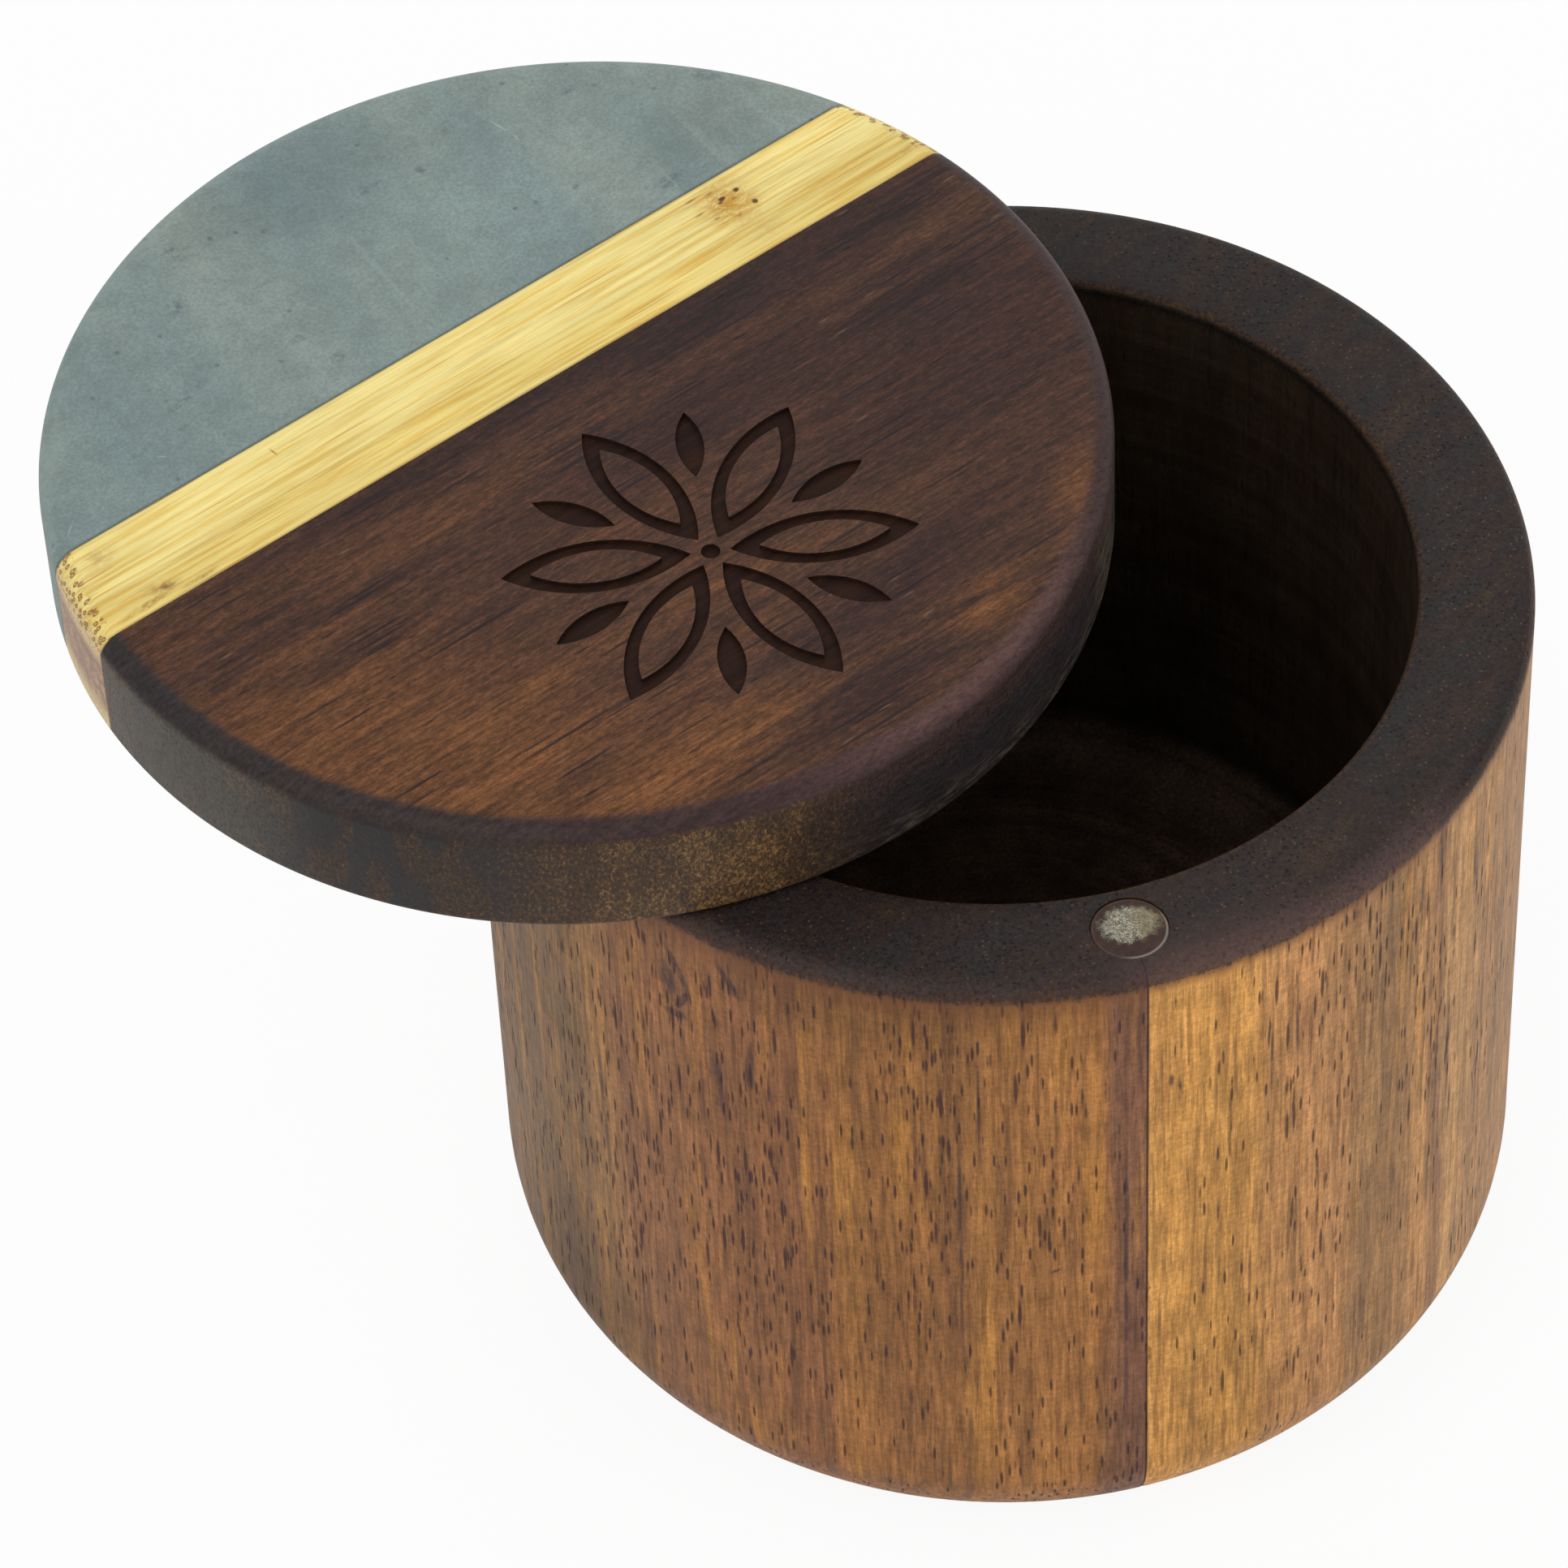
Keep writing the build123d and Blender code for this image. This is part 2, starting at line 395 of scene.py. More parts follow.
def rim_wear_and_highlight(wood, colour, from_axis, grit):
    """The rim is worn warm round its mouth; painted highlight makes it paler and redder at the front of its
    outer edge.
    """
    mouth = wood.overlap(
        (from_axis, BORE_RADIUS_MM + INNER_ROUND_MM, BORE_RADIUS_MM + 0.5 * INNER_ROUND_MM),
        (grit, 0.42, 0.62),
    )
    colour = wood.stain(colour, mouth, 0.4, "#644427")
    # Painted highlight along the front of the rim's outer rounding
    crest_highlight = wood.overlap(
        (wood.x, -4, 4, 0.3, 1),
        (wood.x, 32, 24),
        (wood.y, 0, -10),
        (from_axis, BOX_RADIUS_MM - 2.8, BOX_RADIUS_MM + 0.1),
        (grit, 0.36, 0.6, 0.45, 1),
        (wood.facing_up, 0.05, 0.3),
    )
    colour = wood.stain(colour, crest_highlight, 0.62, "#6B5450")
    # Painted highlight: a broad paler warm band on the rim top at the front
    flush_highlight = wood.overlap(
        (wood.x, -6, 3),
        (wood.x, 20, 8),
        (from_axis, BOX_RADIUS_MM - 6, BOX_RADIUS_MM - 1.5),
        (wood.facing_up, 0.3, 0.8),
        (wood.y, 0, -10),
    )
    return wood.stain(colour, flush_highlight, 0.3, "#5C443C")


def acacia_inside(wood, from_axis, grit):
    """The cavity: nearly black on its wall and browner on its floor, with turning marks; painted light
    lower down, painted shade to the right.
    """
    # Painted light: the wall is lighter further below the rim
    below_rim = wood.fade(wood.z, BOX_HEIGHT_MM - 4, BOX_HEIGHT_MM - 26)
    colour = wood.blend(below_rim, "#1D1914", "#241F1A")
    # Painted shade on the right of the cavity wall
    colour = wood.brighten(colour, wood.fade(wood.x, 20, 33, 1, 0.74))
    # Painted light: the floor is lighter and browner than the wall
    low_down = wood.fade(wood.z, CAVITY_FLOOR_MM + 5, CAVITY_FLOOR_MM + 0.5)
    colour = wood.mix(low_down, colour, paint("#3E3026"))
    turning_marks = wood.noise(wood.vector(from_axis, wood.z), 0.62, 3, 0.6)
    patchy = wood.grain((1, 1, 1.6), 0.22, 5, 0.7)
    return wood.vary(colour, (turning_marks, 0.62, 1.5), (patchy, 0.6, 1.4), (grit, 0.4, 1.8))


# Colour of each band, by its distance from the glue joint as a share of the radius
LEFT_BANDS = [
    (0, "#7A5340"),
    (0.06, "#825940"),
    (0.09, "#A06C3C"),
    (0.18, "#A6713F"),
    (0.3, "#9C6B3C"),
    (0.34, "#7E5535"),
    (0.37, "#98673A"),
    (0.42, "#8F6037"),
    (0.54, "#986739"),
    (0.64, "#895B3A"),
    (0.75, "#92623E"),
    (0.88, "#8B6041"),
    (0.92, "#A6784A"),
    (1, "#80603F"),
]
RIGHT_BANDS = [
    (0, "#CF9550"),
    (0.2, "#CE954E"),
    (0.24, "#B98550"),
    (0.36, "#BC8756"),
    (0.48, "#9E774E"),
    (0.52, "#98714A"),
    (0.62, "#BF8C58"),
    (0.655, "#8E6748"),
    (0.68, "#BE905E"),
    (0.8, "#AB8056"),
    (1, "#A87F59"),
]
# Centre (around, up) and half size in millimetres, and how bright the middle is, 1 for no change
LEFT_SHADES = [
    ((-90, 75), (30, 13), 0.7),
    ((-125, 10), (18, 28), 0.54),
    ((-90, 17), (20, 14), 1.13),
    ((-88, 0), (26, 8), 0.86),
]
RIGHT_SHADES = [
    ((-60, 71), (13, 12), 1.14),
    ((-65.5, 42), (5, 14), 0.88),
    ((-63, 20), (9, 24), 0.86),
]
# Centre (around, up) and half size in millimetres, turn in radians and softness of each mark
LEFT_DENSE_ZONES = [
    ((-104.5, 48), (6.5, 44), 0, 0.8),
    ((-118, 36), (9, 34)),
    ((-86, 60), (5, 26)),
]
RIGHT_DENSE_ZONES = [
    ((-54, 55), (9, 34)),
    ((-39, 48), (4, 40)),
    ((-33, 62), (3, 14)),
]
LEFT_MARKS = [
    ((-109.6, 69.6), (0.6, 3.4), 0.42, 0.6),
    ((-109.2, 65.8), (0.55, 2.4), -0.5, 0.6),
    ((-110.6, 67.6), (1.6, 3.6), 0.1, 0.9),
    ((-110, 63.6), (1.6, 0.7), 0.2, 0.6),
    ((-104.6, 71.2), (0.55, 3), 0.5, 0.7),
    ((-103, 61), (0.55, 4.8), -0.1, 0.8),
    ((-106, 58), (0.9, 7), 0.12),
    ((-119.5, 44), (0.5, 14), 0.02),
    ((-85.3, 44), (0.25, 24), 0, 0.9),
    ((-83.6, 62), (0.22, 12), 0, 0.9),
    ((-89.9, 21), (0.3, 3.8), 0, 0.9),
    ((-77.5, 39.8), (0.75, 0.3), 0.5, 0.8),
    ((-73.3, 63), (0.2, 2.2), 0, 0.8),
    ((-75.2, 62.4), (0.18, 1.9), 0, 0.8),
    ((-77.4, 61.6), (0.2, 1.8), 0, 0.8),
    ((-71.6, 38), (0.35, 40)),
]
RIGHT_MARKS = [
    ((-37.7, 46), (0.4, 11), 0.02),
    ((-37, 36), (0.3, 6)),
    ((-40, 70), (0.35, 9), 0.03),
    ((-42.6, 69), (0.25, 8)),
    ((-62.6, 55), (0.25, 6), 0, 0.9),
    ((-58.8, 61), (0.22, 9), 0, 0.9),
    ((-56.4, 63), (0.3, 6), 0.02, 0.9),
    ((-54, 43.8), (0.3, 5), 0, 0.9),
    ((-34, 63), (0.7, 6), 0.05),
    ((-67.8, 62.4), (0.35, 1.2), 0, 0.8),
    ((-67.1, 61.6), (0.25, 1.3), 0.1, 0.8),
]
LEFT_BOARD = Board(
    name="acacia_left",
    side=-1,
    bands=LEFT_BANDS,
    dull_name="#5E4230",
    fringe_mm=3,
    pore_share=0.45,
    dense_zones=LEFT_DENSE_ZONES,
    shades=LEFT_SHADES,
    marks=LEFT_MARKS,
)
RIGHT_BOARD = Board(
    name="acacia_right",
    side=1,
    bands=RIGHT_BANDS,
    dull_name="#80502E",
    fringe_mm=0.8,
    pore_share=0.28,
    dense_zones=RIGHT_DENSE_ZONES,
    shades=RIGHT_SHADES,
    marks=RIGHT_MARKS,
)


# Materials of the lid

def slate():
    """Honed blue-grey slate: clouds, a fine grain, small dark smudges and a few light scratches."""
    stone = Recipe("slate_honed", 0.2, LID_ORIGIN, strip_angle)
    clouds = stone.noise(stone.mapped(stone.place, turn=radians(80), scale=(4, 1, 1)), 0.08, 4, 0.55)
    colour = stone.ramp(clouds, [(0.3, "#798C8E"), (0.5, "#80908D"), (0.7, "#8E9A94")])
    mottle = stone.noise(stone.place, 0.4, 5, 0.62, 0.5)
    colour = stone.vary(colour, (mottle, 0.9, 1.08))
    colour = stone.shaded(colour, stone.place, SLATE_FIELDS)
    veins = stone.noise(stone.mapped(stone.place, turn=radians(84), scale=(9, 1, 1)), 0.35, 3, 0.6)
    colour = stone.stain(colour, stone.fade(veins, 0.6, 0.75), 0.25, "#A4B2AC")
    olive = stone.noise(stone.mapped(stone.place, (9, 4, 0)), 0.16, 4, 0.7, 0.8)
    colour = stone.stain(colour, stone.fade(olive, 0.58, 0.78), 0.3, "#7C7F5E")
    grain = stone.noise(stone.place, 3.4, 4, 0.8)
    colour = stone.vary(colour, (grain, 0.82, 1.15))

    ragged = stone.fade(stone.noise(stone.place, 1.5, 4, 0.75), 0.4, 0.6)
    smudges = stone.times(stone.spots(stone.place, SLATE_SMUDGES), ragged)
    colour = stone.stain(colour, smudges, 0.6, "#45535C")
    distance, chance = stone.cells(stone.place, 0.5)
    pits = stone.overlap((distance, 0.14, 0.05), (chance, 0.6, 0.75))
    colour = stone.stain(colour, pits, 0.5, "#4F5A5C")
    colour = stone.stain(colour, stone.spots(stone.place, SLATE_SCRATCHES), 0.4, "#C3CBC2")

    # Glue darkens the joint, the eased edge is paler, and the side is a little darker
    joint = stone.fade(stone.y, STONE_EDGE_MM + 0.32, STONE_EDGE_MM + 0.1)
    colour = stone.stain(colour, joint, 0.5, "#3F4038")
    edge = stone.overlap((stone.from_axis(), LID_EDGE_START_MM, LID_EDGE_MIDDLE_MM), (mottle, 0.35, 0.6))
    colour = stone.stain(colour, edge, 0.3, "#9AA8A2")
    colour = stone.stain(colour, stone.fade(stone.facing_up, 0.5, 0.15), 0.35, "#6F7A72")

    roughness = stone.fade(mottle, 0.25, 0.75, 0.52, 0.64)
    return stone.finish(colour, roughness, (mottle, 0.05), (grain, 0.03), (stone.all_but(pits), 0.08))


# Centre (along, across) and half size in millimetres, and how bright the middle is, 1 for no change
SLATE_FIELDS = [
    ((10, 25), (16, 12), 1.12),
    ((-2, 38), (20, 8), 0.88),
    ((30, 21), (10, 8), 0.86),
]
# Centre (along, across) and half size in millimetres, and turn of each mark in radians
SLATE_SMUDGES = [
    ((3.2, 33.6), (1.6, 0.9), 0.1),
    ((4.6, 33.5), (0.7, 0.5)),
    ((8.2, 32.4), (1, 0.8)),
    ((13.1, 34.9), (0.9, 0.6), 0.3),
    ((-6.2, 35.2), (0.8, 0.5)),
    ((-17.1, 32.6), (1.6, 1.3), 0.5),
    ((23.9, 32), (1.4, 0.7), 0.2),
    ((-11.4, 23), (1.1, 0.8)),
    ((-10.2, 19.2), (1, 0.9), 0.4),
    ((-29.2, 20.9), (1.1, 0.6)),
    ((-24.7, 20.9), (0.8, 0.6)),
    ((17.2, 22.2), (0.7, 0.5)),
    ((23.8, 17.6), (2.6, 1.3), 0.1),
    ((-22.5, 23.6), (4, 0.7), 0.25),
    ((-13.5, 38), (1.2, 2.2), 0.4),
    ((34, 26), (1.8, 3), 0.5),
]
SLATE_SCRATCHES = [
    ((16.6, 32.4), (0.16, 1.4), 0.2),
    ((16.9, 30.4), (0.12, 0.8), -0.1),
    ((-41.3, 18), (0.12, 1.5), 0.7),
    ((-38.6, 17.6), (0.1, 1.3), -0.9),
    ((-28, 19.4), (0.1, 0.5), 0.9),
]


def bamboo(name, light_name, deep_name, joints, marks):
    """Bamboo strip: fibres and vascular bundles that run along it and end as dots."""
    strip = Recipe(name, 0.2, LID_ORIGIN, strip_angle)
    tone = strip.grain((26, 1, 1), 1.7, 5, 0.7)
    colour = strip.blend(strip.fade(tone, 0.36, 0.58), deep_name, light_name)
    fibres = strip.grain((40, 1, 1), 3, 4, 0.72)
    colour = strip.vary(colour, (fibres, 0.86, 1.07), (strip.grain((3, 1, 1), 0.16), 0.94, 1.04))
    lines = strip.gather([
        strip.dashes((44, 1, 1), 3.2, 0.5, 0, 0.3),
        strip.dashes((24, 1, 1), 1.9, 0.3, 0, 0.22),
    ])
    colour = strip.stain(colour, lines, 0.55, "#CB8A34")

    # Bundles show as brown rings where the fibres run out at the rounded ends, and as dots below
    end_on = strip.math("ABSOLUTE", strip.facing_along)
    section = strip.vector(strip.y, strip.times(strip.z, 1.5))
    distance, chance = strip.cells(section, 1.7, "2D")
    rings = strip.overlap((distance, 0.37, 0.27), (distance, 0.06, 0.18, 0.3, 1), (chance, 0, 0.2))
    distance, chance = strip.cells(section, 3.4, "2D")
    small_dots = strip.overlap((distance, 0.42, 0.2), (chance, 0.2, 0.5))
    blotches = strip.grain((9, 1, 1), 1.1, 4, 0.7)
    core = strip.overlap((strip.z, 0.8, 4), (strip.z, 9.8, 7.6), (blotches, 0.3, 0.6, 0.55, 1))
    end_colour = strip.blend(core, "#DCC492", "#9A7A6A")
    end_colour = strip.stain(end_colour, small_dots, 0.5, "#80584A")
    colour = strip.mix(strip.fade(end_on, 0.5, 0.98), colour, end_colour)
    bundles = strip.times(strip.fade(end_on, 0.12, 0.25), strip.fade(end_on, 0.99, 0.86), rings)
    colour = strip.stain(colour, bundles, 0.85, "#936038")

    # Single marks, of which the larger ones are ragged
    ragged = strip.fade(strip.grain((2, 1, 1), 2.4, 4, 0.75), 0.34, 0.6, 0.15, 1)
    for centre, size, strength, colour_name, *shape in marks:
        mark = strip.spot(strip.place, centre, size, *shape)
        if max(size) > RAGGED_MARK_MM:
            mark = strip.times(mark, ragged)
        colour = strip.stain(colour, mark, strength, colour_name)

    # Glue lines darken both long edges, least between the two strips
    for joint in joints:
        from_joint = strip.math("ABSOLUTE", strip.math("SUBTRACT", strip.y, joint / MM))
        strength = 0.15 if joint == narrow_strip_edge else 0.4
        colour = strip.stain(colour, strip.fade(from_joint, 0.3, 0.05), strength, "#8A5E2C")

    roughness = strip.fade(fibres, 0.25, 0.75, 0.46, 0.56)
    return strip.finish(colour, roughness, (fibres, 0.03), (strip.all_but(bundles), 0.05))


# Centre, half size, strength and colour of each mark of the bamboo, with turn and softness where set
WIDE_STRIP_MARKS = [
    ((25.8, 12.4), (3.8, 4.4), 1, "#BE8A34"),
    ((26.6, 12), (2.6, 1.8), 0.45, "#D9A032"),
    ((25.7, 13.1), (0.5, 0.32), 0.95, "#4A2E1C", 0.1, 0.6),
    ((25.3, 12.8), (0.34, 0.18), 0.9, "#5E3D24", 0, 0.6),
    ((27.3, 13.2), (0.4, 0.34), 0.95, "#4A2E1C", 0.3, 0.6),
    ((27.7, 11.1), (0.36, 0.38), 0.95, "#4F331F", 0, 0.6),
    ((23.5, 14.6), (0.9, 0.22), 0.85, "#8F5F33"),
    ((25.3, 14.3), (0.7, 0.2), 0.8, "#9A6A3A"),
    ((23.1, 12.8), (0.8, 0.2), 0.8, "#95683A"),
    ((24, 11.5), (0.5, 0.2), 0.8, "#95683A"),
    ((25.7, 10.6), (0.4, 0.2), 0.7, "#9A6A3A"),
    ((26.5, 12.5), (0.35, 0.16), 0.7, "#8A5C32", 0, 0.8),
    ((-20.7, 13.9), (0.14, 0.8), 0.8, "#9B6B3A", 0.1, 0.9),
    ((-38.6, 13.5), (2.6, 1.8), 0.5, "#B07F45", 0.3),
]
NARROW_STRIP_MARKS = [
    ((-36.6, 7.6), (2.6, 1), 0.7, "#A0703A", -0.3),
    ((-38.6, 6.7), (3.8, 0.6), 0.8, "#94662C", 0.05),
    ((-36.2, 7.4), (1.3, 0.5), 0.8, "#855827", -0.1),
    ((-33.4, 6.4), (2.8, 0.35), 0.8, "#7E562E"),
    ((26.5, 8), (2.4, 2), 0.3, "#B98645"),
    ((41.5, 7.6), (2.4, 0.6), 0.5, "#A8763F", 0.1),
]


def dark_wood():
    """Dark brown wood with its grain along the lid, near-black streaks and pale flecks."""
    wood = Recipe("dark_wood_oiled", 0.13, LID_ORIGIN, strip_angle)
    sway = wood.fade(wood.grain((3, 1, 1), 0.035, 2), 0.25, 0.75, -3, 3)
    slope = wood.math("MULTIPLY_ADD", wood.x, 0.03, wood.times(wood.z, 0.55))
    layer = wood.math("ADD", wood.math("ADD", wood.y, sway), slope)
    layers = wood.vector(wood.times(wood.x, 0.045), layer, wood.times(wood.z, 0.25))
    streaks = wood.noise(layers, 1.3, 5, 0.68)
    fibres = wood.grain((13, 1, 1), 2.4, 4, 0.8)
    speckle = wood.grain((2.4, 1, 1), 3.2, 4, 0.85)

    # Warm where the light fields are, purple-brown where the dark ones are
    streaky = wood.spots(wood.place, DARK_STREAKS)
    level = wood.math("MULTIPLY_ADD", wood.noise(layers, 0.22, 3, 0.55), 0.5, 0.25)
    level = wood.math("MULTIPLY_ADD", wood.spots(wood.place, LIGHT_FIELDS), 0.22, level)
    level = wood.math("MULTIPLY_ADD", wood.spots(wood.place, DARK_FIELDS), -0.22, level)
    level = wood.math("MULTIPLY_ADD", streaky, -0.14, level)
    colour = wood.ramp(level, [
        (0.15, "#271714"),
        (0.32, "#37211B"),
        (0.48, "#472D21"),
        (0.64, "#603D25"),
        (0.8, "#764B2B"),
    ])
    colour = wood.vary(colour, (streaks, 0.84, 1.13), (fibres, 0.56, 1.46), (speckle, 0.56, 1.48))
    golden = wood.overlap((speckle, 0.52, 0.66), (level, 0.35, 0.7, 0.15, 0.5))
    colour = wood.stain(colour, golden, 0.6, "#855A30")

    # Near-black lines, most where the wood streaks
    crowd = wood.math("MULTIPLY_ADD", streaky, 0.75, -0.1)
    lines = wood.gather([
        wood.dashes((24, 1, 1), 2.2, 0.34, crowd, 0.36),
        wood.dashes((32, 1, 1), 1.6, 0.24, crowd, 0.36),
    ])
    colour = wood.stain(colour, lines, 0.82, "#1A1115")

    # Fine pores drawn out along the grain, dark or with pale dust in them
    distance, chance = wood.cells(wood.mapped(wood.place, scale=(6, 1, 1)), 1.3)
    narrow = wood.fade(distance, 0.2, 0.08)
    pores = wood.times(narrow, wood.fade(chance, 0.5, 0.6))
    flecks = wood.times(narrow, wood.fade(chance, 0.14, 0.1))
    colour = wood.stain(colour, pores, 0.6, "#1E1414")
    colour = wood.stain(colour, flecks, 0.25, "#9A7B68")

    colour = burnished_edge_and_highlight(wood, colour, streaks, fibres, speckle)
    colour = wood.mix(wood.fade(wood.facing_up, 0.6, 0.2), colour, dark_wood_side(wood))
    roughness = wood.fade(streaks, 0.25, 0.75, 0.42, 0.54)
    return wood.finish(colour, roughness, (wood.all_but(pores), 0.06), (fibres, 0.03))


def burnished_edge_and_highlight(wood, colour, streaks, fibres, speckle):
    """The rounded edge of the dark wood is burnished purple-brown, with painted sheen grey to the left and
    paler to the right, and a painted highlight on its crest in front.
    """
    from_axis = wood.from_axis()
    border = wood.math("MULTIPLY_ADD", fibres, 0.8, from_axis)
    border = wood.math("ADD", border, wood.fade(wood.x, -4, 12, 0, -0.5))
    edge = wood.fade(border, LID_EDGE_START_MM + 0.3, LID_EDGE_START_MM + 1.3)
    from_left = wood.math("MULTIPLY_ADD", wood.x, 0.5 / LID_RADIUS_MM, 0.5)
    # Burnished colour with painted sheen: grey to the left, paler pink-brown to the right
    burnish_and_sheen_colour = wood.ramp(from_left, [
        (0.08, "#2A292B"),
        (0.33, "#362829"),
        (0.62, "#4A3534"),
        (0.8, "#3A2B2B"),
    ])
    burnish_and_sheen_colour = wood.vary(burnish_and_sheen_colour, (streaks, 0.8, 1.25), (speckle, 0.65, 1.45))
    colour = wood.mix(wood.times(edge, 0.88), colour, burnish_and_sheen_colour)
    # Painted highlight on the crest of the rounding in front
    crest_highlight = wood.overlap(
        (wood.x, -14, 2),
        (wood.x, 30, 16),
        (speckle, 0.35, 0.6, 0.45, 1),
        (wood.y, -8, -20),
        (from_axis, LID_EDGE_START_MM + 0.2, LID_EDGE_START_MM + 1),
        (from_axis, LID_EDGE_START_MM + 2.1, LID_EDGE_START_MM + 1.4),
    )
    return wood.stain(colour, crest_highlight, 0.34, "#7C5C55")


def dark_wood_side(wood):
    """The side of the dark wood is a dark grey-brown with gold specks."""
    mottle = wood.grain((1, 1, 1.5), 3.4, 5, 0.85)
    patches = wood.grain((1, 1, 3), 0.3)
    gold = wood.overlap((wood.x, -38, -20), (wood.x, -2, -12), (patches, 0.34, 0.6, 0.03, 0.1))
    colour = wood.ramp(wood.math("ADD", mottle, gold), [
        (0.3, "#241C1A"),
        (0.46, "#352A24"),
        (0.6, "#4F3B29"),
        (0.72, "#947044"),
    ])

    # To the left a painted reflection makes it cold dark blue-grey, and it is pale beside the bamboo
    cold_reflection = wood.overlap((wood.x, -26, -35), (patches, 0.42, 0.54, 0.1, 1))
    colour = wood.stain(colour, cold_reflection, 0.7, "#26292E")
    pale = wood.overlap((wood.x, -40, -43.5), (mottle, 0.36, 0.6, 0.3, 1))
    colour = wood.stain(colour, pale, 0.36, "#756D60")

    # To the right it is nearly black, red-brown above and worn grey below, with a scuffed patch
    around = wood.around(LID_RADIUS_MM)
    unrolled = wood.vector(around, wood.z)
    scuffs = wood.noise(wood.mapped(unrolled, scale=(5, 1, 1)), 1.8, 5, 0.8)
    ragged_height = wood.math("MULTIPLY_ADD", mottle, 6, wood.z)
    right_colour = wood.blend(wood.fade(ragged_height, 8.6, 12), "#2D2728", "#3A2C2A")
    right_colour = wood.vary(right_colour, (scuffs, 0.7, 1.4), (mottle, 0.6, 1.5))
    worn = wood.overlap((ragged_height, 7, 4), (scuffs, 0.46, 0.68))
    right_colour = wood.stain(right_colour, worn, 0.5, "#7D735F")
    patch = wood.times(wood.spot(unrolled, (-38.5, 4.5), (8, 9)), wood.fade(scuffs, 0.38, 0.66))
    right_colour = wood.stain(right_colour, patch, 0.62, "#7C6B54")
    rightness = wood.overlap((wood.x, -14, -1), (around, -22, -31))
    return wood.mix(rightness, colour, right_colour)


# Centre (along, across) and half size in millimetres, and turn of each mark in radians
LIGHT_FIELDS = [
    ((28, -31), (3.5, 8), -0.7),
    ((14, -37), (7, 3), 0.2),
    ((-34, -14), (20, 16), -0.05),
    ((-28, -26), (20, 16), -0.05),
    ((-16, -34), (20, 10), -0.08),
]
DARK_FIELDS = [
    ((6, 5), (60, 7.5)),
    ((30, -14), (32, 26)),
    ((12, -4), (30, 9)),
    ((27, 2), (18, 8)),
    ((17, -3), (12, 6)),
    ((34, -7), (11, 8)),
    ((0, -38.5), (18, 3.2)),
    ((10, -30), (22, 5), 0.12),
]
DARK_STREAKS = [
    ((16, 2.2), (14, 3.6)),
    ((-32, -0.4), (12, 1.2), -0.03),
    ((-34, -2.4), (10, 1), -0.03),
    ((-24, -3.9), (15, 1), -0.02),
    ((-38, -4), (5, 1.4)),
    ((-30, -8), (10, 2.4), -0.03),
    ((34, -2.9), (14, 1.3), 0.04),
    ((36, 2.6), (12, 3)),
    ((14, 1.2), (16, 1.2), -0.01),
    ((-18, 4.2), (20, 1.2), -0.01),
    ((30, -6), (14, 2), 0.03),
    ((16, -36.4), (10, 0.9), -0.1),
    ((-16, -35.8), (5, 0.6), 0.05),
    ((-14, -26.5), (9, 1), 0.04),
    ((-2, -36.6), (18, 0.8), -0.03),
]


def burnt_engraving():
    """Floor and walls of the engraving: scorched, dull and faintly streaked by the grain."""
    wood = Recipe("burnt_engraving", 0.1, LID_ORIGIN, strip_angle)
    streaks = wood.grain((12, 1, 1), 1.2, 4, 0.65)
    colour = wood.ramp(streaks, [(0.3, "#1D110D"), (0.52, "#2A1912"), (0.74, "#3B2114")])
    soot = wood.noise(wood.place, 5, 3, 0.7)
    colour = wood.vary(colour, (soot, 0.8, 1.2))
    roughness = wood.fade(soot, 0.25, 0.75, 0.66, 0.82)
    return wood.finish(colour, roughness, (soot, 0.05))


def magnet_metal(centre):
    """Disc magnet: bare plating in the middle, wood finish baked on round it, a painted highlight on its
    edge.
    """
    metal = Recipe("magnet_plating", 0.25)
    middle = (centre.x / MM, centre.y / MM, 0)
    patch_middle = (middle[0] + 0.15, middle[1] + 0.45, 0)
    from_middle = metal.mapped(metal.place, middle, scale=(1, 1, 1e6))
    from_patch = metal.mapped(metal.place, patch_middle, scale=(1.15, 0.85, 1e6))
    ragged = metal.noise(metal.place, 1.6, 5, 0.75)
    reach = metal.math("MULTIPLY_ADD", ragged, -2.4, metal.length(from_patch))
    bare = metal.fade(reach, 1.25, 0.55)
    speckle = metal.noise(metal.place, 7, 4, 0.8)
    plating = metal.ramp(speckle, [(0.34, "#4C4738"), (0.5, "#837E6B"), (0.66, "#CFCCBC")])
    plating = metal.vary(plating, (metal.noise(metal.place, 2.6, 4, 0.75), 0.5, 1.15))
    to_right = metal.parts(from_patch)[0]
    olive = metal.overlap((ragged, 0.36, 0.56, 0.4, 1), (to_right, -0.4, 1.3))
    plating = metal.stain(plating, olive, 0.65, "#6B5B38")
    crust = metal.ramp(ragged, [(0.3, "#24130F"), (0.55, "#382019"), (0.8, "#523323")])
    colour = metal.mix(bare, crust, plating)
    right, back, _ = metal.parts(from_middle)
    # Painted highlight along the front right of the disc's edge
    edge_highlight = metal.overlap(
        (metal.length(from_middle), 2.85, 3.02),
        (metal.math("SUBTRACT", right, back), 0.8, 3.4, 0.15, 1),
    )
    colour = metal.stain(colour, edge_highlight, 0.7, "#A79C8E")
    feed(metal.tree, metal.times(bare, 0.5), metal.shader.inputs["Metallic"])
    roughness = metal.math("MULTIPLY_ADD", bare, -0.12, metal.fade(speckle, 0.2, 0.8, 0.42, 0.6))
    return metal.finish(colour, roughness, (bare, 0.04), (speckle, 0.03))


